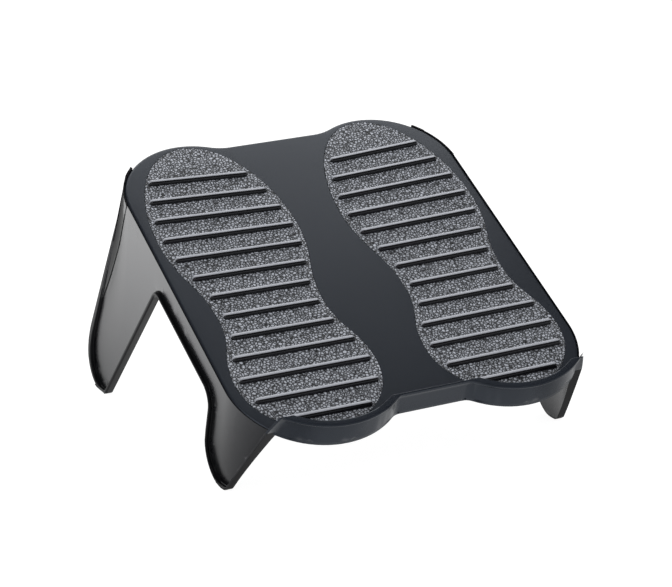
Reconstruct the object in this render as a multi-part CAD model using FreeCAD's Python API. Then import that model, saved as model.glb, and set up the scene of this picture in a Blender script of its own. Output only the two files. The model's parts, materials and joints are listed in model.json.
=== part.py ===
import FreeCAD, Part
import math
import os

# Under desk footrest: a sloped deck with two foot shaped soles, on two V shaped side panels.

# Deck outline, in millimetres. u runs across, v runs down the slope from the straight rear edge,
# n stands up from the deck's top face.
deck_slope = 29.0
rear_edge_height = 216.0
deck_half_width = 150.0
deck_length = 323.0
deck_thickness = 3.0
rear_arc_radius = 66.0
rear_arc_reach = 9.8
rear_blend_radius = 40.0
front_arc_radius = 71.5
front_arc_reach = 17.5
front_blend_radius = 12.0

# Deck underside
skirt_depth = 9.0
skirt_thickness = 2.4
skirt_start_angle = 52.0
stiffener_height = 8.0
stiffener_thickness = 2.0
stiffener_long_pitch = 42.0
stiffener_long_count = 7
stiffener_front_gap = 35.0
stiffener_cross_pitch = 60.0
stiffener_cross_count = 4
stiffener_ledge_gap = 4.0
boss_diameter = 8.0
boss_height = 6.0

# Soles: one textured pad for each foot, set into the deck
sole_edge_inset = 7.9
sole_wide_half = 60.7
sole_wide_at = 103.5
sole_rear_end = -5.2
sole_waist_half = 45.3
sole_waist_share = 0.569
sole_front_half = 59.5
sole_front_setback = 57.0
sole_thickness = 1.6
sole_recess = 1.2
sole_gap = 0.2

# Grip ribs: half round bars across each sole
rib_count = 13
rib_rear_margin = 40.1
rib_front_margin = 15.8
rib_width = 6.2
rib_height = 3.0
rib_crown_radius = 2.6
rib_end_margin = 4.0
rib_fan_front_angle = 0.6
rib_fan_rear_angle = 4.1
rib_fan_power_ratio = 2.5
peg_diameter = 3.0
peg_inset = 12.0
peg_gap = 0.1

# Heel stop: the wall that stands on the deck's front edge
heel_height = 19.5
heel_wall = 2.8
heel_lean = 2.5
heel_rim_width = 2.9
heel_rim_height = 2.6
heel_peg_diameter = 2.0
heel_peg_end_gap = 0.3
heel_peg_root = 1.5
heel_peg_angles = (62.0, 90.0, 116.0)
heel_peg_inner_gap = 3.4

# Side panels. a runs forward from the deck's rear edge and h runs up from the floor.
panel_wall = 2.5
leg_lean_in = 3.0
rim_width = 4.5
rim_thickness = 3.5
rim_step_height = 2.4
rim_step_width = 0.8
front_rim_thickness = 1.3
rear_rim_thickness = 9.0
rim_smallest_radius = 0.5
rear_rim_top = 2.0
edge_lip = 0.8
shoulder_height = 1.4
shoulder_line = ((96.0, 259.0), (45.0, 190.0), (10.0, 148.0), (-58.0, 85.0))
panel_top = 259.0
rear_edge_top = 8.0
rear_bend_back = -90.0
rear_bend_height = 50.0
rear_bend_radius = 54.0
rear_toe_back = -104.0
rear_toe_radius = 30.0
rear_toe_front = -49.5
notch_edge_depth = 23.2
notch_rear_slope = 40.2
notch_apex_radius = 12.0
notch_front_radius = 14.0
front_leg_back_setback = 110.0
front_leg_slope = 64.0
front_leg_front_setback = 60.5
front_toe_radius = 26.0
toe_tip_radius = 9.0
corner_room = 0.85
ear_lead = 9.5
rail_rear_end = -124.0
rail_rear_tangent = -15.0
rail_front_tangent_setback = 82.5
rail_front_end_setback = 45.5
band_rear_angle = 46.0
band_front_angle = 62.0

# Screws that hold the side panels under the deck
ledge_width = 14.0
ledge_thickness = 2.0
ledge_rear_gap = 64.0
ledge_front_gap = 61.0
screw_count = 4
screw_end_inset = 14.0
screw_diameter = 3.0
screw_length = 7.0
screw_head_diameter = 6.0
screw_head_height = 2.2
screw_head_round = 0.9
screw_gap = 0.1

# Feet: flat rubber pads under the tips of the legs
foot_thickness = 2.0

slope = math.radians(deck_slope)
rear_arc_u = deck_half_width - rear_arc_radius
rear_arc_v = rear_arc_radius - rear_arc_reach
front_arc_u = deck_half_width - front_arc_radius
front_arc_v = deck_length + front_arc_reach - front_arc_radius
deck_placement = FreeCAD.Placement(
    FreeCAD.Vector(0, 0, rear_edge_height),
    FreeCAD.Rotation(FreeCAD.Vector(1, 0, 0), deck_slope))
far = 2.0 * (deck_length + rear_edge_height)

# Places that follow from the sizes above
deck_front = deck_length * math.cos(slope)
sole_center = deck_half_width - sole_edge_inset - sole_wide_half
sole_front_at = deck_length - sole_front_setback
sole_waist_at = sole_wide_at + sole_waist_share * (sole_front_at - sole_wide_at)
rib_first_at = sole_rear_end + rib_rear_margin
rib_last_at = sole_front_at + sole_front_half - rib_front_margin
rib_pitch = (rib_last_at - rib_first_at) / max(1, rib_count - 1)
floor_half_width = deck_half_width - leg_lean_in
front_leg_back = deck_front - front_leg_back_setback
front_leg_front = deck_front - front_leg_front_setback
ear_forward = deck_front + ear_lead
rail_front_tangent = deck_front - rail_front_tangent_setback
rail_front_end = deck_front - rail_front_end_setback
ledge_end = deck_length - ledge_front_gap
rim_cut_reach = 3.0 * rim_width


def deck_vector(u, v, n):
    """Point of the deck's own frame, before the frame is tilted."""
    return FreeCAD.Vector(u, -v, n)


def tilt(shape):
    """Tilt a shape from the deck's own frame into the model's frame."""
    moved = shape.copy()
    moved.Placement = deck_placement.multiply(moved.Placement)
    return moved


def mirrored(shape):
    """The same shape for the other side of the footrest."""
    return shape.mirror(FreeCAD.Vector(0, 0, 0), FreeCAD.Vector(1, 0, 0))


def line(start, end):
    return Part.makeLine(start, end)


def arc_edge(center_u, center_v, radius, start, end, n, side):
    """Arc in the deck plane. Angles in degrees, from across towards the front."""
    points = []
    for angle in (start, 0.5 * (start + end), end):
        turn = math.radians(angle)
        points.append(deck_vector(side * (center_u + radius * math.cos(turn)),
                                  center_v + radius * math.sin(turn), n))
    return Part.Arc(points[0], points[1], points[2]).toShape()


def blend_center(arc_u, arc_v, arc_radius, edge_v, blend_radius):
    """Centre of the hollow blend between a straight end of the deck and the arc beside it."""
    outward = 1.0 if edge_v > arc_v else -1.0
    center_v = edge_v + outward * blend_radius
    reach = (arc_radius + blend_radius) ** 2 - (center_v - arc_v) ** 2
    return arc_u - math.sqrt(reach), center_v


def half_outline(side, offset, n):
    """Edges of one half of the deck's outline, from the middle of the rear to the middle of the front."""
    rear_u, rear_v = blend_center(rear_arc_u, rear_arc_v, rear_arc_radius, 0.0, rear_blend_radius)
    front_u, front_v = blend_center(front_arc_u, front_arc_v, front_arc_radius,
                                    deck_length, front_blend_radius)
    rear_turn = math.degrees(math.atan2(rear_v - rear_arc_v, rear_u - rear_arc_u))
    front_turn = math.degrees(math.atan2(front_v - front_arc_v, front_u - front_arc_u))
    half = deck_half_width + offset
    return [
        line(deck_vector(0, -offset, n), deck_vector(side * rear_u, -offset, n)),
        arc_edge(rear_u, rear_v, rear_blend_radius - offset, 90.0, rear_turn + 180.0, n, side),
        arc_edge(rear_arc_u, rear_arc_v, rear_arc_radius + offset, rear_turn, 0.0, n, side),
        line(deck_vector(side * half, rear_arc_v, n), deck_vector(side * half, front_arc_v, n)),
        arc_edge(front_arc_u, front_arc_v, front_arc_radius + offset, 0.0, front_turn, n, side),
        arc_edge(front_u, front_v, front_blend_radius - offset, front_turn - 180.0, -90.0, n, side),
        line(deck_vector(side * front_u, deck_length + offset, n), deck_vector(0, deck_length + offset, n)),
    ]


def outline_prism(offset, bottom, top):
    """Everything inside the deck's outline, grown by the offset, between two heights."""
    edges = half_outline(1.0, offset, bottom) + half_outline(-1.0, offset, bottom)
    wire = Part.Wire(Part.__sortEdges__(edges))
    return Part.Face(wire).extrude(FreeCAD.Vector(0, 0, top - bottom))


def deck_box(u_low, u_high, v_low, v_high, n_low, n_high):
    return Part.makeBox(u_high - u_low, v_high - v_low, n_high - n_low, deck_vector(u_low, v_high, n_low))


def pin(u, v, bottom, top, diameter):
    return Part.makeCylinder(diameter / 2.0, top - bottom, deck_vector(u, v, bottom))


def sole_half_width(v):
    """Half the width of a sole at a distance down the slope."""
    if v < sole_wide_at:
        share = (sole_wide_at - v) / (sole_wide_at - sole_rear_end)
        return sole_wide_half * math.sqrt(max(0.0, 1.0 - share * share))
    if v > sole_front_at:
        share = (v - sole_front_at) / sole_front_half
        return sole_front_half * math.sqrt(max(0.0, 1.0 - share * share))
    wide_at = sole_wide_at if v < sole_waist_at else sole_front_at
    wide_half = sole_wide_half if v < sole_waist_at else sole_front_half
    run = abs(wide_at - sole_waist_at)
    step = wide_half - sole_waist_half
    radius = (run * run + step * step) / (4.0 * step)
    near_waist = abs(v - sole_waist_at)
    if near_waist < 0.5 * run:
        return sole_waist_half + radius - math.sqrt(radius * radius - near_waist ** 2)
    return wide_half - radius + math.sqrt(radius * radius - (run - near_waist) ** 2)


def sole_face(side, gap, n):
    """Outline of one sole, drawn in by a gap: an elliptic heel, a waist of four arcs a side, a round toe."""
    center = side * sole_center
    edges = []
    heel = Part.Ellipse(deck_vector(center, sole_rear_end + gap, n),
                        deck_vector(center + sole_wide_half - gap, sole_wide_at, n),
                        deck_vector(center, sole_wide_at, n))
    for turn in (1.0, -1.0):
        def edge_point(v):
            return deck_vector(center + turn * (sole_half_width(v) - gap), v, n)
        quarter = (0.0, 0.5 * math.pi) if turn > 0 else (-0.5 * math.pi, 0.0)
        edges.append(Part.ArcOfEllipse(heel, quarter[0], quarter[1]).toShape())
        for start, end in ((sole_wide_at, sole_waist_at), (sole_waist_at, sole_front_at)):
            middle = 0.5 * (start + end)
            for low, high in ((start, middle), (middle, end)):
                edges.append(Part.Arc(edge_point(low), edge_point(0.5 * (low + high)),
                                      edge_point(high)).toShape())
        toe = sole_front_half - gap
        edges.append(Part.Arc(edge_point(sole_front_at),
                              deck_vector(center + turn * toe * math.sqrt(0.5),
                                          sole_front_at + toe * math.sqrt(0.5), n),
                              deck_vector(center, sole_front_at + toe, n)).toShape())
    return Part.Face(Part.Wire(Part.__sortEdges__(edges)))


def rib_layout(side, index):
    """Middle, turn and half length of one grip rib."""
    v = rib_first_at + index * rib_pitch
    share = (rib_count - 1 - index) / max(1.0, rib_count - 1.0)
    turn = rib_fan_front_angle + (rib_fan_rear_angle - rib_fan_front_angle) * share ** rib_fan_power_ratio
    half = sole_half_width(v) - rib_end_margin
    return side * sole_center, v, side * turn, half


def rib_pegs(side, index):
    """Where the two pegs of a grip rib pass through the sole and the deck."""
    u, v, turn, half = rib_layout(side, index)
    reach = half - peg_inset
    spots = []
    for end in (-1.0, 1.0):
        spots.append((u + end * reach * math.cos(math.radians(turn)),
                      v - end * reach * math.sin(math.radians(turn))))
    return spots


def screw_spots(side):
    """Places of the screws along one edge of the deck."""
    first = ledge_rear_gap + screw_end_inset
    pitch = (ledge_end - screw_end_inset - first) / max(1, screw_count - 1)
    u = side * (deck_half_width - panel_wall - 0.5 * ledge_width)
    return [(u, first + index * pitch) for index in range(screw_count)]


def heel_peg_spots():
    """Places of the pegs under the heel stop's wall, along the middle of its thickness."""
    depth = 0.5 * heel_wall
    blend_u = blend_center(front_arc_u, front_arc_v, front_arc_radius, deck_length, front_blend_radius)[0]
    spots = [(0.0, deck_length - depth)]
    for side in (-1.0, 1.0):
        spots.append((side * (blend_u - heel_peg_inner_gap), deck_length - depth))
        for angle in heel_peg_angles:
            turn = math.radians(angle)
            spots.append((side * (front_arc_u + (front_arc_radius - depth) * math.cos(turn)),
                          front_arc_v + (front_arc_radius - depth) * math.sin(turn)))
    return spots


def deck_panel():
    """The sloped plate, with its recesses, rear skirt, stiffeners and screw bosses."""
    deck = outline_prism(0.0, -deck_thickness, 0.0)
    for side in (-1.0, 1.0):
        recess = sole_face(side, -sole_gap, -sole_recess).extrude(FreeCAD.Vector(0, 0, far))
        deck = deck.cut(recess)
    skirt_bottom = -deck_thickness - skirt_depth
    skirt = outline_prism(0.0, skirt_bottom, -deck_thickness)
    skirt = skirt.cut(outline_prism(-skirt_thickness, skirt_bottom, -deck_thickness))
    skirt_front = rear_arc_v - rear_arc_radius * math.sin(math.radians(skirt_start_angle))
    skirt = skirt.common(deck_box(-far, far, -far, skirt_front, -far, far))
    bottom = -deck_thickness - stiffener_height
    half = deck_half_width - panel_wall - ledge_width - stiffener_ledge_gap
    thick = 0.5 * stiffener_thickness
    inside = outline_prism(-0.5 * skirt_thickness, bottom, -deck_thickness)
    additions = [skirt]
    for index in range(stiffener_cross_count):
        v = (index + 1) * stiffener_cross_pitch
        additions.append(deck_box(-half, half, v - thick, v + thick, bottom, -deck_thickness))
    for index in range(stiffener_long_count):
        u = (index - 0.5 * (stiffener_long_count - 1)) * stiffener_long_pitch
        stiffener = deck_box(u - thick, u + thick, 0.0, deck_length - stiffener_front_gap,
                             bottom, -deck_thickness)
        additions.append(stiffener.common(inside))
    for side in (-1.0, 1.0):
        for u, v in screw_spots(side):
            additions.append(pin(u, v, -deck_thickness - boss_height, -deck_thickness, boss_diameter))
    deck = deck.fuse(additions)
    holes = []
    for side in (-1.0, 1.0):
        for index in range(rib_count):
            for u, v in rib_pegs(side, index):
                holes.append(pin(u, v, -far, far, peg_diameter + 2.0 * peg_gap))
        for u, v in screw_spots(side):
            top = -deck_thickness - boss_height - ledge_thickness + screw_length + screw_gap
            holes.append(pin(u, v, -far, top, screw_diameter + 2.0 * screw_gap))
    for u, v in heel_peg_spots():
        holes.append(pin(u, v, -far, far, heel_peg_diameter + 2.0 * peg_gap))
    return tilt(deck.cut(holes).removeSplitter())


def sole_pad(side):
    """One foot shaped pad, pierced for the pegs of its grip ribs."""
    pad = sole_face(side, 0.0, -sole_recess).extrude(FreeCAD.Vector(0, 0, sole_thickness))
    holes = []
    for index in range(rib_count):
        for u, v in rib_pegs(side, index):
            holes.append(pin(u, v, -far, far, peg_diameter + 2.0 * peg_gap))
    return tilt(pad.cut(holes))


def grip_rib(side, index):
    """One half round bar with rounded ends, and its two pegs."""
    u, v, turn, half = rib_layout(side, index)
    seat = sole_thickness - sole_recess
    radius = 0.5 * rib_width
    run = half - radius
    ends = [FreeCAD.Vector(-run, -radius, 0), FreeCAD.Vector(run, -radius, 0),
            FreeCAD.Vector(run, radius, 0), FreeCAD.Vector(-run, radius, 0)]
    edges = [line(ends[0], ends[1]),
             Part.Arc(ends[1], FreeCAD.Vector(half, 0, 0), ends[2]).toShape(),
             line(ends[2], ends[3]),
             Part.Arc(ends[3], FreeCAD.Vector(-half, 0, 0), ends[0]).toShape()]
    bar = Part.Face(Part.Wire(edges)).extrude(FreeCAD.Vector(0, 0, rib_height))
    crown = [edge for edge in bar.Edges if edge.BoundBox.ZMin > 0.5 * rib_height]
    bar = bar.makeFillet(rib_crown_radius, crown)
    bar.Placement = FreeCAD.Placement(deck_vector(u, v, seat),
                                      FreeCAD.Rotation(FreeCAD.Vector(0, 0, 1), turn))
    pegs = []
    for peg_u, peg_v in rib_pegs(side, index):
        pegs.append(pin(peg_u, peg_v, -deck_thickness, seat + 0.5 * rib_height, peg_diameter))
    return tilt(bar.fuse(pegs))


def side_point(a, h):
    """Point of the side view, on the middle plane of the footrest."""
    return FreeCAD.Vector(0, -a, h)


def ear_height():
    """Height above the floor of the heel stop's ends."""
    v = (ear_forward - heel_height * math.sin(slope)) / math.cos(slope)
    return rear_edge_height - v * math.sin(slope) + heel_height * math.cos(slope)


def crossing(point, direction, other, other_direction):
    """Where two lines of the side view cross."""
    turn = direction[0] * other_direction[1] - direction[1] * other_direction[0]
    step = ((other[0] - point[0]) * other_direction[1] - (other[1] - point[1]) * other_direction[0]) / turn
    return (point[0] + step * direction[0], point[1] + step * direction[1])


def panel_corners():
    """Corners of a side panel's outline in the side view, with the radius of each."""
    band_point = (notch_edge_depth * math.sin(-slope), rear_edge_height - notch_edge_depth * math.cos(slope))
    band_direction = (math.cos(slope), -math.sin(slope))
    rear_rise = math.radians(notch_rear_slope)
    front_rise = math.radians(front_leg_slope)
    apex = crossing((rear_toe_front, 0.0), (math.cos(rear_rise), math.sin(rear_rise)),
                    band_point, band_direction)
    knee = crossing((front_leg_back, 0.0), (math.cos(front_rise), math.sin(front_rise)),
                    band_point, band_direction)
    rear_lean = (rear_edge_top - rear_bend_back) / (rear_edge_height - rear_bend_height)
    front_lean = (ear_forward - front_leg_front) / ear_height()
    return [
        ((rear_edge_top + rear_lean * (panel_top - rear_edge_height), panel_top), 0.0),
        ((rear_bend_back, rear_bend_height), rear_bend_radius),
        ((rear_toe_back, 0.0), rear_toe_radius),
        ((rear_toe_front, 0.0), toe_tip_radius),
        (apex, notch_apex_radius),
        (knee, notch_front_radius),
        ((front_leg_back, 0.0), front_toe_radius),
        ((front_leg_front, 0.0), toe_tip_radius),
        ((front_leg_front + front_lean * panel_top, panel_top), 0.0),
    ]


def rim_insets(corners, step):
    """Rim thickness of the sides that differ from the rest, with a step inside it."""
    rear = rear_rim_thickness + step
    return {0: rear, 1: rear, len(corners) - 2: front_rim_thickness}


def rounded_face(corners, inset, other_insets):
    """Face of the side view: straight sides moved in by the inset, or by their own, with rounded corners."""
    count = len(corners)
    sides = []
    for index in range(count):
        move = other_insets.get(index, inset)
        start = corners[index][0]
        end = corners[(index + 1) % count][0]
        length = math.hypot(end[0] - start[0], end[1] - start[1])
        direction = ((end[0] - start[0]) / length, (end[1] - start[1]) / length)
        inward = (-direction[1], direction[0])
        sides.append(((start[0] + move * inward[0], start[1] + move * inward[1]), direction))
    meetings = [crossing(sides[index - 1][0], sides[index - 1][1], sides[index][0], sides[index][1])
                for index in range(count)]
    edges = []
    joints = []
    for index in range(count):
        before = sides[index - 1]
        after = sides[index]
        corner = meetings[index]
        bend = before[1][0] * after[1][1] - before[1][1] * after[1][0]
        radius = corners[index][1]
        if radius > 0.0:
            radius = max(rim_smallest_radius, radius - inset) if bend > 0.0 else radius + inset
        between = math.acos(max(-1.0, min(1.0, before[1][0] * after[1][0] + before[1][1] * after[1][1])))
        room = corner_room * min(math.dist(corner, meetings[index - 1]),
                                 math.dist(corner, meetings[(index + 1) % count]))
        reach = min(radius * math.tan(0.5 * between), room)
        if radius > 0.0:
            radius = reach / math.tan(0.5 * between)
        enter = (corner[0] - reach * before[1][0], corner[1] - reach * before[1][1])
        leave = (corner[0] + reach * after[1][0], corner[1] + reach * after[1][1])
        middle = corner
        if radius > 0.0:
            sign = 1.0 if bend > 0.0 else -1.0
            center = (enter[0] - sign * radius * before[1][1], enter[1] + sign * radius * before[1][0])
            away = math.hypot(corner[0] - center[0], corner[1] - center[1])
            middle = (center[0] + (corner[0] - center[0]) * radius / away,
                      center[1] + (corner[1] - center[1]) * radius / away)
        joints.append((enter, middle, leave, radius))
    for index in range(count):
        enter, middle, leave, radius = joints[index]
        if radius > 0.0:
            edges.append(Part.Arc(side_point(*enter), side_point(*middle), side_point(*leave)).toShape())
        following = joints[(index + 1) % count][0]
        edges.append(line(side_point(*leave), side_point(*following)))
    return Part.Face(Part.Wire(Part.__sortEdges__(edges)))


def side_prism(face):
    """The part of space that a face of the side view covers, on the right hand side."""
    return face.extrude(FreeCAD.Vector(far, 0, 0))


def polygon_face(points):
    return Part.Face(Part.makePolygon([side_point(*point) for point in points] + [side_point(*points[0])]))


def panel_rail(top_offset, floor_offset):
    """Edges of the deck's outline, and of the straight floor line below it, for one face of the panel."""
    half = deck_half_width + top_offset
    rear = arc_edge(rear_arc_u, rear_arc_v, rear_arc_radius + top_offset, -band_rear_angle, 0.0, 0.0, 1.0)
    straight = line(deck_vector(half, rear_arc_v, 0), deck_vector(half, front_arc_v, 0))
    front = arc_edge(front_arc_u, front_arc_v, front_arc_radius + top_offset,
                     0.0, band_front_angle, 0.0, 1.0)
    x = floor_half_width + floor_offset
    stations = (rail_rear_end, rail_rear_tangent, rail_front_tangent, rail_front_end)
    points = [FreeCAD.Vector(x, -station, 0) for station in stations]
    floor = [line(points[index], points[index + 1]) for index in range(len(points) - 1)]
    return [tilt(rear), tilt(straight), tilt(front)], floor


def panel_band(inner, outer, inner_top=None):
    """Wall between the deck's outline and a straight line on the floor, between two offsets."""
    outer_rail = panel_rail(outer, outer)
    inner_rail = panel_rail(inner if inner_top is None else inner_top, inner)
    rings = []
    for outer_edges, inner_edges in zip(outer_rail, inner_rail):
        closing_front = line(outer_edges[-1].lastVertex().Point, inner_edges[-1].lastVertex().Point)
        closing_rear = line(inner_edges[0].firstVertex().Point, outer_edges[0].firstVertex().Point)
        rings.append(Part.Wire(outer_edges + [closing_front] + inner_edges[::-1] + [closing_rear]))
    return Part.makeLoft(rings, True, True)


def side_panel():
    """Right side panel: the wall, its two legs, and the outward rim round their free edges."""
    corners = panel_corners()
    panel = panel_band(-panel_wall, rim_width).common(side_prism(rounded_face(corners, 0.0, {})))
    toe_middle = 0.5 * (rear_toe_back + rear_toe_front)
    rear_zone = polygon_face([(-far, 0.0), (toe_middle, 0.0), (corners[0][0][0] - toe_middle, panel_top),
                              (-far, panel_top)])
    panel = panel.cut(panel_band(rim_width, rim_cut_reach, rear_rim_top).common(side_prism(rear_zone)))
    upper_face = rounded_face(corners, rim_thickness, rim_insets(corners, 0.0))
    panel = panel.cut(panel_band(rim_step_height, rim_cut_reach).common(side_prism(upper_face)))
    inner_face = rounded_face(corners, rim_thickness + rim_step_width, rim_insets(corners, rim_step_width))
    panel = panel.cut(panel_band(shoulder_height, rim_cut_reach).common(side_prism(inner_face)))
    beyond_shoulder = polygon_face(list(shoulder_line) + [
        (-far, shoulder_line[-1][1]), (-far, 0.0), (far, 0.0), (far, panel_top)])
    pocket = side_prism(inner_face.common(beyond_shoulder))
    panel = panel.cut(panel_band(0.0, rim_cut_reach, edge_lip).common(pocket))
    panel = panel.cut(tilt(outline_prism(screw_gap, -deck_thickness, far)))
    panel = panel.cut(tilt(deck_box(-far, far, -far, far, 0.0, far)))
    return panel


def panel_with_ledge():
    """Right side panel with the ledge inside it that takes the screws."""
    top = -deck_thickness - boss_height
    half = deck_half_width - 0.5 * panel_wall
    ledge = deck_box(deck_half_width - panel_wall - ledge_width, half, ledge_rear_gap, ledge_end,
                     top - ledge_thickness, top)
    panel = side_panel().fuse(tilt(ledge))
    holes = [tilt(pin(u, v, -far, far, screw_diameter + 2.0 * screw_gap)) for u, v in screw_spots(1.0)]
    return panel.cut(holes)


def foot_region(front):
    """The lowest layer of one leg's tip, which is rubber."""
    middle = 0.5 * (rear_toe_front + front_leg_back)
    start, end = (middle, far) if front else (-far, middle)
    return side_prism(polygon_face([(start, -foot_thickness), (end, -foot_thickness),
                                    (end, foot_thickness), (start, foot_thickness)]))


def build_sides():
    """The side panels and their rubber feet, right hand first, then mirrored."""
    whole = panel_with_ledge()
    pieces = {}
    panel = whole
    for name, front in (("front", True), ("rear", False)):
        region = foot_region(front)
        foot = whole.common(region)
        panel = panel.cut(region)
        pieces["right_%s_foot" % name] = foot
        pieces["left_%s_foot" % name] = mirrored(foot)
    pieces["right_side_panel"] = panel
    pieces["left_side_panel"] = mirrored(panel)
    return pieces


def heel_band(inner, outer, bottom, top):
    """Leaning wall along the deck's front outline, between two offsets and two heights."""
    lean = FreeCAD.Vector(0, (top - bottom) * heel_lean / heel_height, top - bottom)
    base_shift = FreeCAD.Vector(0, bottom * heel_lean / heel_height, 0)
    faces = []
    for offset in (outer, inner):
        edges = half_outline(1.0, offset, bottom) + half_outline(-1.0, offset, bottom)
        face = Part.Face(Part.Wire(Part.__sortEdges__(edges)))
        face.translate(base_shift)
        faces.append(face)
    return faces[0].cut(faces[1]).extrude(lean)


def heel_stop():
    """The wall on the deck's front edge, its rim, and the raised ends that carry on the panels' rims."""
    corners = panel_corners()
    foot_point = corners[7][0]
    top_point = corners[8][0]
    lean = (top_point[0] - foot_point[0]) / top_point[1]
    inside = front_rim_thickness * math.hypot(1.0, lean)
    front_zone = polygon_face([(foot_point[0] - inside, 0.0), (far, 0.0), (far, top_point[1]),
                               (top_point[0] - inside, top_point[1])])
    strip_zone = polygon_face([(foot_point[0] - inside, 0.0), (foot_point[0], 0.0),
                               (top_point[0], top_point[1]), (top_point[0] - inside, top_point[1])])

    def both_sides(face):
        return face.extrude(FreeCAD.Vector(2.0 * far, 0, 0)).translated(FreeCAD.Vector(-far, 0, 0))

    wall = tilt(heel_band(-heel_wall, 0.0, 0.0, heel_height))
    rim = tilt(heel_band(-heel_wall, heel_rim_width, heel_height - heel_rim_height, heel_height))
    ends = tilt(heel_band(-heel_wall, rim_width, 0.0, heel_height))
    stop = wall.common(both_sides(front_zone))
    stop = stop.fuse([rim.common(both_sides(front_zone)), ends.common(both_sides(strip_zone))])
    pegs = [tilt(pin(u, v, heel_peg_end_gap - deck_thickness, heel_peg_root, heel_peg_diameter))
            for u, v in heel_peg_spots()]
    return stop.fuse(pegs).removeSplitter()


def panel_screws(side):
    """The screws of one side panel, as separate solids."""
    seat = -deck_thickness - boss_height - ledge_thickness
    screws = []
    for u, v in screw_spots(side):
        shank = pin(u, v, seat, seat + screw_length, screw_diameter)
        head = pin(u, v, seat - screw_head_height, seat, screw_head_diameter)
        rounded = [edge for edge in head.Edges if edge.BoundBox.ZMax < seat - 0.5 * screw_head_height
                   and edge.Closed]
        head = head.makeFillet(screw_head_round, rounded)
        screws.append(tilt(shank.fuse(head).removeSplitter()))
    return Part.makeCompound(screws)


def build_all():
    """Every node of the footrest, by name."""
    nodes = {"deck_panel": deck_panel(), "heel_stop": heel_stop()}
    nodes.update(build_sides())
    for name, side in (("left", -1.0), ("right", 1.0)):
        nodes["%s_sole_pad" % name] = sole_pad(side)
        nodes["%s_panel_screws" % name] = panel_screws(side)
        for index in range(rib_count):
            nodes["%s_grip_rib_%02d" % (name, index + 1)] = grip_rib(side, index)
    return nodes


def centered(nodes):
    """Move the footrest so that the origin is on the floor, under the middle of its box."""
    box = Part.makeCompound(list(nodes.values())).optimalBoundingBox(False)
    shift = FreeCAD.Vector(0, -0.5 * (box.YMin + box.YMax), 0)
    return {name: shape.translated(shift) for name, shape in nodes.items()}


os.makedirs("parts", exist_ok=True)
for node_name, node_shape in centered(build_all()).items():
    node_shape.exportStep("parts/%s.step" % node_name)
    size = node_shape.optimalBoundingBox(False)
    print("%-22s solids %2d valid %s volume %9.1f x %.1f %.1f y %.1f %.1f z %.1f %.1f" % (
        node_name, len(node_shape.Solids), node_shape.isValid(), node_shape.Volume,
        size.XMin, size.XMax, size.YMin, size.YMax, size.ZMin, size.ZMax))
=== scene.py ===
import bpy
import bmesh
import json
import math
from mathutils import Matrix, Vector
from mathutils.bvhtree import BVHTree
from mathutils.geometry import delaunay_2d_cdt

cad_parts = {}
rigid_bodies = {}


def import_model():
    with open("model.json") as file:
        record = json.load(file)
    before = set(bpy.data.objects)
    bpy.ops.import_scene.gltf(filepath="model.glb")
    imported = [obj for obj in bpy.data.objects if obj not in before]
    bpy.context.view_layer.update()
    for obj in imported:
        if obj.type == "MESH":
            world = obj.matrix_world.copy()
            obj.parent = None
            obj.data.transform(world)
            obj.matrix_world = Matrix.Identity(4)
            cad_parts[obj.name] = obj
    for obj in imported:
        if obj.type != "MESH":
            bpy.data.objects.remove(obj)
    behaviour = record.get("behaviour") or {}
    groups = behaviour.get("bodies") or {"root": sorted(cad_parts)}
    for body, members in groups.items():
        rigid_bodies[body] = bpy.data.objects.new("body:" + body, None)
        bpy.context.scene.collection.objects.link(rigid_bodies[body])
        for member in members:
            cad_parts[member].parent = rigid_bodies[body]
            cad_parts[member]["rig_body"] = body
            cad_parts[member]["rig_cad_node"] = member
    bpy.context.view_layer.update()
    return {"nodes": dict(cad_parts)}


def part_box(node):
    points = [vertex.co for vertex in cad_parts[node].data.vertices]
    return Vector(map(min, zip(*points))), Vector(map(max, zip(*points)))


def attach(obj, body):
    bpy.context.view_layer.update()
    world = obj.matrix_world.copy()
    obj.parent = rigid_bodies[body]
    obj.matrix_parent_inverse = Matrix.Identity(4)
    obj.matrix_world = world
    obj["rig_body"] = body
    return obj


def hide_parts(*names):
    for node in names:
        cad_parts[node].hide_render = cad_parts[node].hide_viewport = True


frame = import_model()
nodes = frame["nodes"]
print("footrest: frame loaded,", len(nodes), "nodes")

# Places on the solids, in metres

deckSlope = math.radians(29.0)  # the same slope as in the part's source
deckUp = Vector((0.0, -math.sin(deckSlope), math.cos(deckSlope)))
deckTop = max(corner.co.dot(deckUp) for corner in nodes["deck_panel"].data.vertices)
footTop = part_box("left_front_foot")[1][2]
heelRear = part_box("heel_stop")[1][1]
sideNames = ("left", "right")

# The side panels and the heel stop's ends share a straight front edge, at y = floorY - lean * z
frontLine = {"floorY": -0.11542, "lean": 0.9158}


def levelOf(point):
    # height above the deck's top, square to it
    return point.dot(deckUp) - deckTop


def nearFrontLine(point, reach):
    return abs(point.y - frontLine["floorY"] + frontLine["lean"] * point.z) < reach


# Small helpers that every piece uses

meshTidy = {
    "join": 0.00006,  # metres, for the loose triangles of a moulded part
    "joinAfter": 0.00001,  # metres, once the edges are rounded
    "flatAngle": 0.05,  # degrees
    "mostCorners": 4,  # a face with more corners than this is cut up
    "cutScale": 1000.0,  # the cut works in millimetres
    "cutStep": 0.0001,  # millimetres
    "cutInside": 1,  # the cut keeps the triangles inside the outline
}


def pickOnly(piece):
    bpy.ops.object.select_all(action="DESELECT")
    piece.select_set(True)
    bpy.context.view_layer.objects.active = piece


def applyAll(piece):
    pickOnly(piece)
    for modifier in list(piece.modifiers):
        bpy.ops.object.modifier_apply(modifier=modifier.name)


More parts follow.
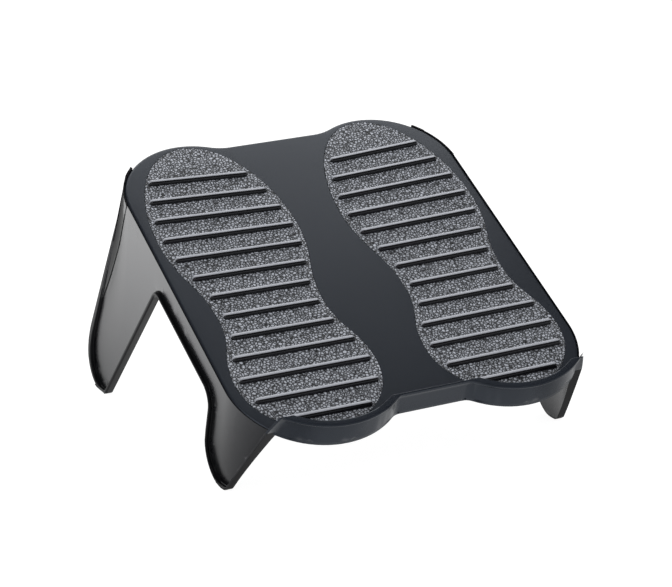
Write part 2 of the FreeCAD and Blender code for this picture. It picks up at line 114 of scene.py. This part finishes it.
def workingCopy(nodeName, pieceName):
    # a free copy of a moulded part, with its loose triangles joined up into clean faces
    pickOnly(nodes[nodeName])
    bpy.ops.object.duplicate()
    piece = bpy.context.view_layer.objects.active
    piece.name = pieceName
    piece.data.name = pieceName
    piece.parent = None
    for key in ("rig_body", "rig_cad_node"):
        if key in piece:
            del piece[key]
    bpy.ops.object.mode_set(mode="EDIT")
    bpy.ops.mesh.select_all(action="SELECT")
    bpy.ops.mesh.remove_doubles(threshold=meshTidy["join"])
    bpy.ops.mesh.dissolve_limited(angle_limit=math.radians(meshTidy["flatAngle"]))
    bpy.ops.object.mode_set(mode="OBJECT")
    return piece


def splitBigFaces(piece):
    # cuts each many-sided face into clean triangles, also where its outline turns back on itself
    mesh = bmesh.new()
    mesh.from_mesh(piece.data)
    scale = meshTidy["cutScale"]
    for face in [face for face in mesh.faces if len(face.verts) > meshTidy["mostCorners"]]:
        normal = face.normal.copy()
        across = normal.orthogonal().normalized()
        along = normal.cross(across)
        corners = list(face.verts)
        origin = corners[0].co.copy()
        flat = []
        for corner in corners:
            offset = corner.co - origin
            flat.append(Vector((offset.dot(across), offset.dot(along))) * scale)
        outline = list(range(len(corners)))
        cut = delaunay_2d_cdt(flat, [], [outline], meshTidy["cutInside"], meshTidy["cutStep"])
        places, triangles, sources = cut[0], cut[2], cut[3]
        made = []
        for place, source in zip(places, sources):
            if source:
                made.append(corners[source[0]])
            else:
                made.append(mesh.verts.new(origin + (place.x * across + place.y * along) / scale))
        smooth = face.smooth
        mesh.faces.remove(face)
        for triangle in triangles:
            trio = [made[index] for index in triangle]
            if len(set(trio)) == 3 and mesh.faces.get(trio) is None:
                mesh.faces.new(trio).smooth = smooth
    mesh.to_mesh(piece.data)
    mesh.free()


def roundEdges(piece, radiusOf, segments, sharpAngle=35.0):
    # the mould's edge radii: radiusOf gives each sharp edge a radius of its own
    mesh = bmesh.new()
    mesh.from_mesh(piece.data)
    solid = BVHTree.FromBMesh(mesh)
    weights = mesh.edges.layers.float.new("bevel_weight_edge")
    radii = {}
    for edge in mesh.edges:
        if len(edge.link_faces) != 2:
            continue
        turn = edge.calc_face_angle_signed(0.0)
        if abs(turn) > math.radians(sharpAngle):
            middle = 0.5 * (edge.verts[0].co + edge.verts[1].co)
            radii[edge] = radiusOf(edge, middle, turn > 0.0, solid)
    largest = max(radii.values())
    for edge, radius in radii.items():
        edge[weights] = radius / largest
    mesh.to_mesh(piece.data)
    mesh.free()
    bevel = piece.modifiers.new("edgeRadius", "BEVEL")
    bevel.limit_method = "WEIGHT"
    bevel.width = largest
    bevel.segments = segments
    bevel.use_clamp_overlap = False
    applyAll(piece)
    bpy.ops.object.mode_set(mode="EDIT")
    bpy.ops.mesh.select_all(action="SELECT")
    bpy.ops.mesh.remove_doubles(threshold=meshTidy["joinAfter"])
    bpy.ops.mesh.dissolve_degenerate(threshold=meshTidy["joinAfter"])
    bpy.ops.object.mode_set(mode="OBJECT")
    splitBigFaces(piece)
    bpy.ops.object.shade_smooth_by_angle(angle=math.radians(sharpAngle))
    even = piece.modifiers.new("evenShade", "WEIGHTED_NORMAL")
    even.keep_sharp = True
    applyAll(piece)


def placeOnFrame(piece, nodeName):
    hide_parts(nodeName)
    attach(piece, "root")


def giveMaterial(piece, material):
    if not piece.material_slots:
        piece.data.materials.append(material)
    for place in piece.material_slots:
        place.material = material


# Shader building blocks

noiseMiddle = 0.5  # a noise texture's mean value


def newGroup(name, inputs, outputs):
    group = bpy.data.node_groups.new(name, "ShaderNodeTree")
    for label, value in inputs:
        socket = group.interface.new_socket(name=label, in_out="INPUT", socket_type="NodeSocketFloat")
        socket.default_value = value
    for label in outputs:
        group.interface.new_socket(name=label, in_out="OUTPUT", socket_type="NodeSocketFloat")
    return group, group.nodes.new("NodeGroupInput"), group.nodes.new("NodeGroupOutput")


def feed(tree, value, socket):
    # links an output to a socket, or sets a plain number on it
    if isinstance(value, (int, float)):
        socket.default_value = value
    else:
        tree.links.new(value, socket)


def mathNode(tree, operation, first, second=0.0, clamp=False):
    node = tree.nodes.new("ShaderNodeMath")
    node.operation = operation
    node.use_clamp = clamp
    feed(tree, first, node.inputs[0])
    feed(tree, second, node.inputs[1])
    return node.outputs[0]


def rangeNode(tree, value, low, high, newLow=0.0, newHigh=1.0, shape="SMOOTHSTEP"):
    node = tree.nodes.new("ShaderNodeMapRange")
    node.interpolation_type = shape
    tree.links.new(value, node.inputs["Value"])
    for label, number in (("From Min", low), ("From Max", high), ("To Min", newLow), ("To Max", newHigh)):
        feed(tree, number, node.inputs[label])
    return node.outputs["Result"]


def shadeMix(tree, mask, low, high):
    # low and high are plain colours or outputs
    mix = tree.nodes.new("ShaderNodeMix")
    mix.data_type = "RGBA"
    tree.links.new(mask, mix.inputs["Factor"])
    for label, shade in (("A", low), ("B", high)):
        if isinstance(shade, tuple):
            mix.inputs[label].default_value = (*shade, 1.0)
        else:
            tree.links.new(shade, mix.inputs[label])
    return mix.outputs["Result"]


def noiseNode(tree, vector, scale, detail):
    noise = tree.nodes.new("ShaderNodeTexNoise")
    noise.inputs["Detail"].default_value = detail
    tree.links.new(vector, noise.inputs["Vector"])
    feed(tree, scale, noise.inputs["Scale"])
    return noise


def vectorNode(tree, operation, first, second):
    node = tree.nodes.new("ShaderNodeVectorMath")
    node.operation = operation
    tree.links.new(first, node.inputs[0])
    if isinstance(second, tuple):
        node.inputs[1].default_value = second
    else:
        tree.links.new(second, node.inputs["Scale" if operation == "SCALE" else 1])
    return node.outputs["Value" if operation == "DOT_PRODUCT" else "Vector"]


skinLook = {
    "peelDetail": 2.0,
    "cloudDetail": 3.0,
    "markSize": 60.0,
    "markDetail": 5.0,
    "markEdge": (0.56, 0.72),  # where in the noise a handling mark starts and is full
    "markShare": 0.5,
}


def buildMouldSkin():
    # faint orange peel, flow clouding and a few handling marks of a moulded plastic face
    group, entry, leave = newGroup("mouldSkin", [
        ("Peel Size", 900.0),
        ("Cloud Size", 9.0),
        ("Base Rough", 0.4),
        ("Rough Spread", 0.06),
    ], ["Height", "Roughness", "Cloud"])
    place = group.nodes.new("ShaderNodeTexCoord").outputs["Object"]
    peel = noiseNode(group, place, entry.outputs["Peel Size"], skinLook["peelDetail"])
    cloud = noiseNode(group, place, entry.outputs["Cloud Size"], skinLook["cloudDetail"])
    marks = noiseNode(group, place, skinLook["markSize"], skinLook["markDetail"])
    markMask = rangeNode(group, marks.outputs["Fac"], *skinLook["markEdge"])
    centred = mathNode(group, "SUBTRACT", cloud.outputs["Fac"], noiseMiddle)
    mixed = mathNode(group, "ADD", centred, mathNode(group, "MULTIPLY", markMask, skinLook["markShare"]))
    spread = mathNode(group, "MULTIPLY", mixed, entry.outputs["Rough Spread"])
    rough = mathNode(group, "ADD", entry.outputs["Base Rough"], spread, clamp=True)
    group.links.new(peel.outputs["Fac"], leave.inputs["Height"])
    group.links.new(rough, leave.inputs["Roughness"])
    group.links.new(cloud.outputs["Fac"], leave.inputs["Cloud"])
    return group


grainLook = {
    "wanderSize": 260.0,
    "wanderDetail": 1.0,
    "domePower": 2.0,  # how square the crown of a pebble is
    "domeHeight": 0.35,
}


def buildPebbleGrain():
    # irregular rounded pebbles with grooves between them; the sole uses the Top mask to paint shade into the
    # grooves
    group, entry, leave = newGroup("pebbleGrain", [
        ("Pebble Count", 430.0),
        ("Wander", 0.0011),
        ("Groove", 0.3),
    ], ["Height", "Top", "Tint"])
    place = group.nodes.new("ShaderNodeTexCoord").outputs["Object"]
    wander = noiseNode(group, place, grainLook["wanderSize"], grainLook["wanderDetail"])
    centred = vectorNode(group, "SUBTRACT", wander.outputs["Color"], (noiseMiddle, noiseMiddle, noiseMiddle))
    moved = vectorNode(group, "ADD", place, vectorNode(group, "SCALE", centred, entry.outputs["Wander"]))
    cells = group.nodes.new("ShaderNodeTexVoronoi")
    cells.feature = "F1"
    grooves = group.nodes.new("ShaderNodeTexVoronoi")
    grooves.feature = "DISTANCE_TO_EDGE"
    for texture in (cells, grooves):
        group.links.new(moved, texture.inputs["Vector"])
        group.links.new(entry.outputs["Pebble Count"], texture.inputs["Scale"])
    top = rangeNode(group, grooves.outputs["Distance"], 0.0, entry.outputs["Groove"])
    fall = mathNode(group, "POWER", cells.outputs["Distance"], grainLook["domePower"])
    crown = mathNode(group, "SUBTRACT", 1.0, fall, clamp=True)
    height = mathNode(group, "ADD", top, mathNode(group, "MULTIPLY", crown, grainLook["domeHeight"]))
    separate = group.nodes.new("ShaderNodeSeparateColor")
    group.links.new(cells.outputs["Color"], separate.inputs[0])
    group.links.new(height, leave.inputs["Height"])
    group.links.new(top, leave.inputs["Top"])
    group.links.new(separate.outputs[0], leave.inputs["Tint"])
    return group


mouldSkin = buildMouldSkin()
pebbleGrain = buildPebbleGrain()


def startMaterial(name):
    material = bpy.data.materials.new(name)
    material.use_nodes = True
    return material, material.node_tree, material.node_tree.nodes["Principled BSDF"]


def addBump(tree, shader, height, strength, distance):
    bump = tree.nodes.new("ShaderNodeBump")
    bump.inputs["Strength"].default_value = strength
    bump.inputs["Distance"].default_value = distance
    tree.links.new(height, bump.inputs["Height"])
    tree.links.new(bump.outputs["Normal"], shader.inputs["Normal"])


def plasticMaterial(name, look):
    # one moulded finish: colour clouding, roughness clouding and a fine skin
    material, tree, shader = startMaterial(name)
    skin = tree.nodes.new("ShaderNodeGroup")
    skin.node_tree = mouldSkin
    skin.inputs["Peel Size"].default_value = look["peelSize"]
    skin.inputs["Cloud Size"].default_value = look["cloudSize"]
    skin.inputs["Base Rough"].default_value = look["roughness"]
    skin.inputs["Rough Spread"].default_value = look["roughSpread"]
    color = shadeMix(tree, skin.outputs["Cloud"], look["dark"], look["light"])
    tree.links.new(color, shader.inputs["Base Color"])
    tree.links.new(skin.outputs["Roughness"], shader.inputs["Roughness"])
    addBump(tree, shader, skin.outputs["Height"], look["peelStrength"], look["peelDepth"])
    shader.inputs["IOR"].default_value = look["ior"]
    shader.inputs["Metallic"].default_value = look["metallic"]
    shader.inputs["Specular IOR Level"].default_value = look["gloss"]
    shader.inputs["Specular Tint"].default_value = (*look["tint"], 1.0)
    return material


# Deck

deckLook = {
    "outlineRadius": 0.0024,
    "undersideRadius": 0.0004,
    "recessRadius": 0.0003,
    "segments": 4,
    "shortestEdge": 0.0015,  # shorter edges stay sharp
    "levelBand": 0.0004,  # how near to a level still counts as on it
    "recessReach": 0.0016,  # the faces at a recess's edge go no deeper
    "plateThickness": 0.003,
    "plateReach": 0.0034,  # nor do those at the plate's lower edge
    "sharpTop": 0.004,  # forward of the heel stop's rear end the top edge is covered and stays sharp
    "roundBelow": 0.002,  # and the plate's lower edge is rounded there
    "dark": (0.0090, 0.0112, 0.0156),
    "light": (0.0132, 0.0162, 0.0225),
    "roughness": 0.34,
    "roughSpread": 0.05,
    "peelSize": 1500.0,
    "cloudSize": 7.0,
    "peelStrength": 0.10,
    "peelDepth": 0.0002,
    "ior": 1.5,
    "metallic": 0.0,
    "gloss": 0.5,
    "tint": (0.80, 0.88, 1.0),
}


def deckRadius(edge, middle, outside, solid):
    if not outside or edge.calc_length() < deckLook["shortestEdge"]:
        return 0.0
    level = levelOf(middle)
    lowest = min(levelOf(corner.co) for face in edge.link_faces for corner in face.verts)
    if level > -deckLook["levelBand"]:
        if lowest > -deckLook["recessReach"]:
            return deckLook["recessRadius"]
        return 0.0 if middle.y < heelRear - deckLook["sharpTop"] else deckLook["outlineRadius"]
    onPlateBottom = abs(level + deckLook["plateThickness"]) < deckLook["levelBand"]
    inFront = middle.y < heelRear - deckLook["roundBelow"]
    onLowerEdge = onPlateBottom and inFront and lowest > -deckLook["plateReach"]
    return deckLook["undersideRadius"] if onLowerEdge else 0.0


def buildDeck():
    piece = workingCopy("deck_panel", "deckShell")
    roundEdges(piece, deckRadius, deckLook["segments"])
    giveMaterial(piece, plasticMaterial("deckPlastic", deckLook))
    placeOnFrame(piece, "deck_panel")


buildDeck()
print("footrest: deck done")


# Heel stop

heelLook = dict(
    deckLook,
    roughness=0.27,
    rimRadius=0.0012,
    endRadius=0.00045,
    endReach=0.0045,  # how near to the front line the ends begin
    hollowRadius=0.0004,
    lowestEdge=0.0004,  # height above the deck's top, below which the edges stay sharp
)


def heelRadius(edge, middle, outside, solid):
    if levelOf(middle) < heelLook["lowestEdge"]:
        return 0.0
    if nearFrontLine(middle, heelLook["endReach"]):
        return heelLook["endRadius"] if outside else 0.0
    return heelLook["rimRadius"] if outside else heelLook["hollowRadius"]


def buildHeelStop():
    piece = workingCopy("heel_stop", "heelRail")
    roundEdges(piece, heelRadius, heelLook["segments"])
    giveMaterial(piece, plasticMaterial("heelPlastic", heelLook))
    placeOnFrame(piece, "heel_stop")


buildHeelStop()
print("footrest: heel stop done")


# Side panels

panelLook = dict(
    deckLook,
    dark=(0.0050, 0.0052, 0.0062),
    light=(0.0080, 0.0083, 0.0098),
    roughness=0.25,
    roughSpread=0.04,
    cloudSize=6.0,
    peelStrength=0.08,
    tint=(0.92, 0.94, 1.0),
    beadShare=0.46,  # radius of the bead as a share of its width
    beadLargest=0.0040,
    wallThickness=0.0029,  # what is left of the wall behind the bead's edge
    recessRadius=0.0017,  # the most where a wall lies this close behind the edge
    recessReach=0.008,
    smallRadius=0.0003,
    lipRadius=0.0002,  # along the deck
    lipDepth=0.0036,
    innerRadius=0.0005,
    frontRadius=0.0005,
    frontReach=0.0022,
    topTaper=0.12,  # the bead gets finer towards the deck
    outwardShare=0.55,  # a face that turns outwards by more than this is an outer one
    footMargin=0.0003,  # edges nearer than this to the feet stay sharp
    shoulderTop=0.0575,  # where the rear rim runs into the deck, its edges stay sharp
    shoulderReach=0.009,
    shoulderDepth=0.014,
    thicknessStart=(0.0004, -0.0002),  # where a measuring ray starts: inwards from the edge, above the face
    widthStart=(0.0002, -0.0010),
    behindStart=(-0.0003, 0.0001),
    skinDepth=0.0001,  # how far below a face its own ray starts
    webThickness=0.0042,  # the wide faces are thin, or have the screw ledge behind them
    ledgeDepth=0.012,
    facing=0.9,
    innerFacing=0.8,
    cornerFacing=0.35,  # a thinner face may turn further and still count as wide
    cornerThickness=0.0032,
    rearTurn=0.14,  # a thicker face that turns to the rear belongs to the rim
    rearThickness=0.0034,
)
# painted shade: the rim's copy of the panel plastic is darker and duller, so that the beads read black
rimShadeLook = dict(
    panelLook,
    dark=(0.0030, 0.0030, 0.0036),
    light=(0.0050, 0.0052, 0.0060),
    roughness=0.3,
    gloss=0.06,
)
panelPlastic = plasticMaterial("panelPlastic", panelLook)
rimShadePlastic = plasticMaterial("rimShadePlastic", rimShadeLook)


def beadRadius(middle, inward, normal, solid):
    # the rim is a bead: its edges are as round as its own width and height allow
    def reach(start, direction):
        aside, above = start
        return solid.ray_cast(middle + aside * inward + above * normal, direction)[3]

    thickness = reach(panelLook["thicknessStart"], -normal)
    width = reach(panelLook["widthStart"], inward)
    behind = reach(panelLook["behindStart"], -normal)
    if thickness is None or width is None:
        return panelLook["smallRadius"]
    radius = min(panelLook["beadShare"] * width, thickness - panelLook["wallThickness"],
                 panelLook["beadLargest"], -panelLook["topTaper"] * levelOf(middle))
    if behind is not None and behind < panelLook["recessReach"]:
        radius = min(radius, panelLook["recessRadius"])
    return max(panelLook["smallRadius"], radius)


def panelRadius(edge, middle, outside, solid):
    if not outside or middle.z < footTop + panelLook["footMargin"]:
        return 0.0
    atShoulder = abs(middle.y - panelLook["shoulderTop"]) < panelLook["shoulderReach"]
    if atShoulder and levelOf(middle) > -panelLook["shoulderDepth"]:
        return 0.0
    if max(levelOf(corner.co) for corner in edge.verts) > -panelLook["lipDepth"]:
        return panelLook["lipRadius"]
    if nearFrontLine(middle, panelLook["frontReach"]):
        return panelLook["frontRadius"]
    along = (edge.verts[1].co - edge.verts[0].co).normalized()
    for face in edge.link_faces:
        if face.normal.x * middle.x >= panelLook["outwardShare"] * abs(middle.x):
            inward = along.cross(face.normal)
            if inward.dot(face.calc_center_median() - middle) < 0.0:
                inward = -inward
            return beadRadius(middle, inward, face.normal, solid)
    return panelLook["innerRadius"]


def paintRimShade(piece):
    # painted shade: the bead and the narrow side walls get a darker, duller copy of the panel plastic than
    # the wide faces, so that they read black
    mesh = bmesh.new()
    mesh.from_mesh(piece.data)
    solid = BVHTree.FromBMesh(mesh)
    for face in mesh.faces:
        center = face.calc_center_median()
        behind = solid.ray_cast(center - panelLook["skinDepth"] * face.normal, -face.normal)[3] or 0.0
        outward = face.normal.x * center.x / abs(center.x)
        thin = behind < panelLook["webThickness"] or behind > panelLook["ledgeDepth"]
        onCorner = outward > panelLook["cornerFacing"] and behind < panelLook["cornerThickness"]
        atRearCorner = face.normal.y > panelLook["rearTurn"] and behind > panelLook["rearThickness"]
        onWeb = (onCorner or outward > panelLook["facing"] and thin) and not atRearCorner
        face.material_index = 0 if onWeb or outward < -panelLook["innerFacing"] else 1
    mesh.to_mesh(piece.data)
    mesh.free()


def buildSidePanel(side):
    piece = workingCopy(side + "_side_panel", side + "SidePanel")
    roundEdges(piece, panelRadius, panelLook["segments"])
    piece.data.materials.clear()
    piece.data.materials.append(panelPlastic)
    piece.data.materials.append(rimShadePlastic)
    paintRimShade(piece)
    placeOnFrame(piece, side + "_side_panel")


for sideName in sideNames:
    buildSidePanel(sideName)
print("footrest: side panels done")


# Soles

soleLook = {
    "edgeRadius": 0.0004,
    "segments": 3,
    "lowestEdge": 0.0003,  # height above the deck's top, below which the edges stay sharp
    "shortestEdge": 0.0015,
    # painted shade and sheen: the grooves between the pebbles are painted near black as shade, and the
    # pebble tops a pale grey that stands in for their sheen
    "paintedGrooveShade": (0.008, 0.009, 0.011),
    "top": (0.365, 0.385, 0.430),
    "darkestTop": 0.82,  # the darkest pebble's share of that colour
    "roughness": 0.36,
    "grooveRoughness": 0.6,
    "pebbleCount": 395.0,
    "wander": 0.0009,
    "grainStrength": 0.8,
    "grainDepth": 0.0006,
    "ior": 1.5,
}


def soleMaterial():
    material, tree, shader = startMaterial("soleGrain")
    grain = tree.nodes.new("ShaderNodeGroup")
    grain.node_tree = pebbleGrain
    grain.inputs["Pebble Count"].default_value = soleLook["pebbleCount"]
    grain.inputs["Wander"].default_value = soleLook["wander"]
    top = grain.outputs["Top"]
    tint = rangeNode(tree, grain.outputs["Tint"], 0.0, 1.0, soleLook["darkestTop"], 1.0)
    # painted shade in the grooves, painted sheen on the pebble tops
    color = shadeMix(tree, mathNode(tree, "MULTIPLY", top, tint), soleLook["paintedGrooveShade"], soleLook["top"])
    tree.links.new(color, shader.inputs["Base Color"])
    rough = rangeNode(tree, top, 0.0, 1.0, soleLook["grooveRoughness"], soleLook["roughness"])
    tree.links.new(rough, shader.inputs["Roughness"])
    addBump(tree, shader, grain.outputs["Height"], soleLook["grainStrength"], soleLook["grainDepth"])
    shader.inputs["IOR"].default_value = soleLook["ior"]
    return material


soleGrain = soleMaterial()


def soleRadius(edge, middle, outside, solid):
    onTop = outside and levelOf(middle) > soleLook["lowestEdge"]
    return soleLook["edgeRadius"] if onTop and edge.calc_length() > soleLook["shortestEdge"] else 0.0


def buildSole(side):
    piece = workingCopy(side + "_sole_pad", side + "Sole")
    roundEdges(piece, soleRadius, soleLook["segments"])
    giveMaterial(piece, soleGrain)
    placeOnFrame(piece, side + "_sole_pad")


for sideName in sideNames:
    buildSole(sideName)
print("footrest: soles done")


# Rubber feet, roundest below and to the outside

rubberLook = dict(
    panelLook,
    dark=(0.004, 0.004, 0.004),
    light=(0.007, 0.007, 0.007),
    roughness=0.5,
    roughSpread=0.1,
    peelSize=2600.0,
    peelStrength=0.35,
    outerRadius=0.0015,
    innerRadius=0.0004,
    topMargin=0.0001,  # edges nearer than this to the pad's top stay sharp
    outwardShare=0.5,
    downward=0.05,
)
footRubber = plasticMaterial("footRubber", rubberLook)


def footRadius(edge, middle, outside, solid):
    if not outside or min(corner.co.z for corner in edge.verts) > footTop - rubberLook["topMargin"]:
        return 0.0
    outward = max(face.normal.x * middle.x for face in edge.link_faces)
    below = min(face.normal.z for face in edge.link_faces) < -rubberLook["downward"]
    onOuter = outward > rubberLook["outwardShare"] * abs(middle.x) and below
    return rubberLook["outerRadius"] if onOuter else rubberLook["innerRadius"]


def buildFoot(name):
    piece = workingCopy(name, name + "_pad")
    roundEdges(piece, footRadius, rubberLook["segments"])
    giveMaterial(piece, footRubber)
    placeOnFrame(piece, name)


for sideName in sideNames:
    for endName in ("front", "rear"):
        buildFoot(sideName + "_" + endName + "_foot")
print("footrest: feet done")


# Grip ribs and screws keep their own meshes

ribLook = dict(
    panelLook,
    dark=(0.004, 0.004, 0.005),
    light=(0.007, 0.007, 0.008),
    roughness=0.2,
    # painted highlight: the paler colour of the ribs' upper side
    crown=(0.30, 0.31, 0.34),
    highlightEdge=(-0.28, 0.02),  # where the turn of the surface starts to take the painted highlight, and takes it fully
)
screwLook = dict(panelLook, dark=(0.30, 0.30, 0.32), light=(0.46, 0.46, 0.48), roughness=0.32, metallic=1.0)
ribPlastic = plasticMaterial("ribPlastic", ribLook)
screwSteel = plasticMaterial("screwSteel", screwLook)


def paintCrownHighlight(material):
    # painted highlight: the upper side of each rib, by the way its surface turns, gets a paler colour than
    # the flank below it
    tree = material.node_tree
    shader = tree.nodes["Principled BSDF"]
    upSlope = (0.0, math.cos(deckSlope), math.sin(deckSlope))
    normal = tree.nodes.new("ShaderNodeTexCoord").outputs["Normal"]
    mask = rangeNode(tree, vectorNode(tree, "DOT_PRODUCT", normal, upSlope), *ribLook["highlightEdge"])
    moulded = shader.inputs["Base Color"].links[0].from_socket
    tree.links.new(shadeMix(tree, mask, moulded, ribLook["crown"]), shader.inputs["Base Color"])


paintCrownHighlight(ribPlastic)

for nodeName, nodeObject in nodes.items():
    if "grip_rib" in nodeName:
        giveMaterial(nodeObject, ribPlastic)
    elif nodeName.endswith("_screws"):
        giveMaterial(nodeObject, screwSteel)
print("footrest: ribs and screws finished")


# Floor, light and camera

floorLook = {
    "size": 14.0,
    "color": (0.86, 0.86, 0.86),
    "roughness": 0.9,
    "whiteShare": 0.75,
    "whiteLevel": 1.25,
    "nearGlow": 0.76,  # how bright the floor shows in the gloss of the panels, close by
    "sideGlow": 2.3,  # and far out to the sides
    "underGlow": 1.8,  # factor under the deck's middle
    "behindGlow": 0.03,  # factor behind the deck's middle
    "frontGlow": 0.7,  # share reached at the front legs, coming from the front
    "rearGlow": 0.3,  # share added on the way to the rear legs
    "sideReach": (0.17, 0.40),  # from where to where each of them changes, in metres
    "underReach": (0.10, 0.15),
    "behindReach": (0.13, 0.20),
    "frontReach": (-0.5, -0.12),
    "rearReach": (-0.12, 0.12),
    "fadeReach": (0.22, 0.45),
}


def floorGlow(tree):
    # brightness of the floor as glossy parts mirror it, by place
    look = floorLook
    split = tree.nodes.new("ShaderNodeSeparateXYZ")
    tree.links.new(tree.nodes.new("ShaderNodeTexCoord").outputs["Object"], split.inputs[0])
    lengthways = split.outputs["Y"]
    sideways = mathNode(tree, "ABSOLUTE", split.outputs["X"])
    level = rangeNode(tree, sideways, *look["sideReach"], look["nearGlow"], look["sideGlow"], "LINEAR")
    under = rangeNode(tree, sideways, *look["underReach"], look["underGlow"], 1.0)
    behindDeck = rangeNode(tree, sideways, *look["behindReach"], look["behindGlow"], 1.0)
    front = rangeNode(tree, lengthways, *look["frontReach"], 0.0, look["frontGlow"])
    rear = rangeNode(tree, lengthways, *look["rearReach"], 0.0, look["rearGlow"])
    fade = rangeNode(tree, lengthways, *look["fadeReach"], 1.0, behindDeck)
    across = mathNode(tree, "MULTIPLY", level, under)
    along = mathNode(tree, "MULTIPLY", mathNode(tree, "ADD", front, rear), fade)
    return mathNode(tree, "MULTIPLY", across, along)


def mixShaders(tree, share, first, second):
    mix = tree.nodes.new("ShaderNodeMixShader")
    for place, output in enumerate((share, first, second)):
        tree.links.new(output, mix.inputs[place])
    return mix.outputs[0]


def buildFloor():
    bpy.ops.object.select_all(action="DESELECT")
    bpy.ops.mesh.primitive_plane_add(size=floorLook["size"], location=(0.0, 0.0, 0.0))
    floor = bpy.context.view_layer.objects.active
    floor.name = "paleFloor"
    material, tree, shader = startMaterial("paleFloor")
    shader.inputs["Base Color"].default_value = (*floorLook["color"], 1.0)
    shader.inputs["Roughness"].default_value = floorLook["roughness"]
    path = tree.nodes.new("ShaderNodeLightPath")
    white = tree.nodes.new("ShaderNodeEmission")
    white.inputs["Strength"].default_value = floorLook["whiteLevel"]
    glow = tree.nodes.new("ShaderNodeEmission")
    tree.links.new(floorGlow(tree), glow.inputs["Strength"])
    share = mathNode(tree, "MULTIPLY", path.outputs["Is Camera Ray"], floorLook["whiteShare"])
    seen = mixShaders(tree, share, shader.outputs[0], white.outputs[0])
    mirrored = mixShaders(tree, path.outputs["Is Glossy Ray"], seen, glow.outputs[0])
    tree.links.new(mirrored, tree.nodes["Material Output"].inputs["Surface"])
    giveMaterial(floor, material)


worldLook = {
    "roomLevel": 1.0,
    "backdropLevel": 1.0,
    "horizonLevel": 0.9,  # what glossy parts mirror low down
    "mirrorLevel": 0.02,  # and higher up
    "horizonReach": (0.05, 0.5),
}


def buildWorld():
    look = worldLook
    world = bpy.data.worlds.new("studio")
    bpy.context.scene.world = world
    world.use_nodes = True
    tree = world.node_tree
    back = tree.nodes["Background"]
    back.inputs["Color"].default_value = (1.0, 1.0, 1.0, 1.0)
    path = tree.nodes.new("ShaderNodeLightPath")
    seen = rangeNode(tree, path.outputs["Is Camera Ray"], 0.0, 1.0, look["roomLevel"], look["backdropLevel"])
    split = tree.nodes.new("ShaderNodeSeparateXYZ")
    tree.links.new(tree.nodes.new("ShaderNodeTexCoord").outputs["Generated"], split.inputs[0])
    upwards = split.outputs["Z"]
    horizon = rangeNode(tree, upwards, *look["horizonReach"], look["horizonLevel"], look["mirrorLevel"])
    mirrored = rangeNode(tree, path.outputs["Is Glossy Ray"], 0.0, 1.0, seen, horizon)
    tree.links.new(mirrored, back.inputs["Strength"])


softBoxes = {
    "topBox": {
        "place": (0.38, 0.90, 1.25),
        "target": (0.0, 0.05, 0.12),
        "width": 1.3,
        "depth": 0.8,
        "watts": 7.4,
    },
    "keyBox": {
        "place": (-1.1, -0.9, 1.9),
        "target": (0.0, 0.0, 0.1),
        "width": 0.9,
        "depth": 0.9,
        "watts": 8.0,
    },
}


def addToScene(name, data):
    holder = bpy.data.objects.new(name, data)
    bpy.context.scene.collection.objects.link(holder)
    return holder


def buildLights():
    for name, box in softBoxes.items():
        lamp = bpy.data.lights.new(name, "AREA")
        lamp.shape = "RECTANGLE"
        lamp.size = box["width"]
        lamp.size_y = box["depth"]
        lamp.energy = box["watts"]
        holder = addToScene(name, lamp)
        holder.location = box["place"]
        aim = Vector(box["target"]) - Vector(box["place"])
        holder.rotation_euler = aim.to_track_quat("-Z", "Y").to_euler()


cameraLook = {
    "place": (-0.74592, -1.64428, 0.63829),
    "turn": (73.5188, 2.799, -25.3559),
    "lens": 121.75,
    "sensor": 36.0,
    "nearest": 0.05,
    "farthest": 50.0,
}


def buildCamera():
    camera = bpy.data.cameras.new("photoCamera")
    camera.lens = cameraLook["lens"]
    camera.sensor_width = cameraLook["sensor"]
    camera.clip_start = cameraLook["nearest"]
    camera.clip_end = cameraLook["farthest"]
    holder = addToScene("photoCamera", camera)
    holder.location = cameraLook["place"]
    holder.rotation_euler = [math.radians(angle) for angle in cameraLook["turn"]]
    bpy.context.scene.camera = holder


buildFloor()
buildWorld()
buildLights()
buildCamera()
bpy.context.scene.view_settings.view_transform = "Standard"
print("footrest: floor, light and camera done")
